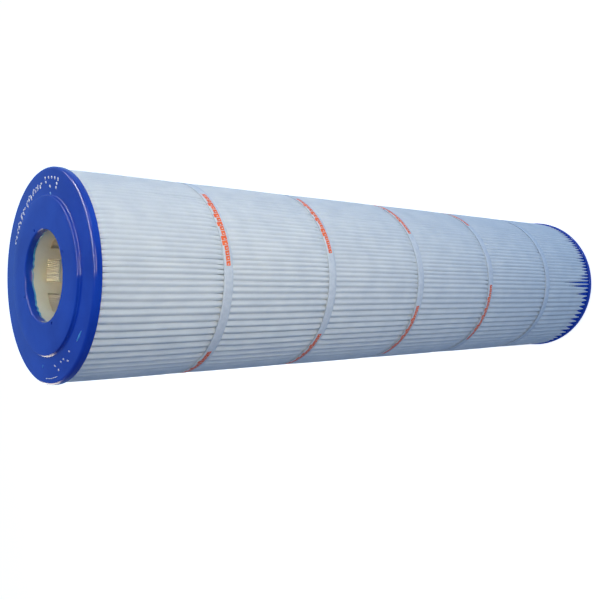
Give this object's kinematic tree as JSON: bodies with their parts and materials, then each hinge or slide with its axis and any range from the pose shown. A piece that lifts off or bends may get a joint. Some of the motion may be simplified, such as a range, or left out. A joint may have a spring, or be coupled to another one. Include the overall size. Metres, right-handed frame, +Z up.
{
  "type": "filter cartridge",
  "caption": "Tall round pleated filter cartridge with a flat cap and raised boss at each end and an open bore on a lattice core.",
  "frame": {"origin": "centre of the bottom cap's lowest face, on the bore's axis", "axes": "+Z up the bore from the bottom cap to the top cap"},
  "size_m": [0.178, 0.178, 0.742],
  "materials": {
    "cap": "satin",
    "media": "matte",
    "core": "satin",
    "band": "satin",
    "adhesive": "satin"
  },
  "bodies": {
    "root": {"top_end_cap": "cap", "bottom_end_cap": "cap", "pleated_media": "media", "media_seam": "adhesive", "core_section_1": "core", "core_section_2": "core", "core_section_3": "core", "core_section_4": "core", "core_section_5": "core", "band_1": "band", "band_2": "band", "band_3": "band", "band_4": "band", "band_5": "band"}
  },
  "joints": []
}
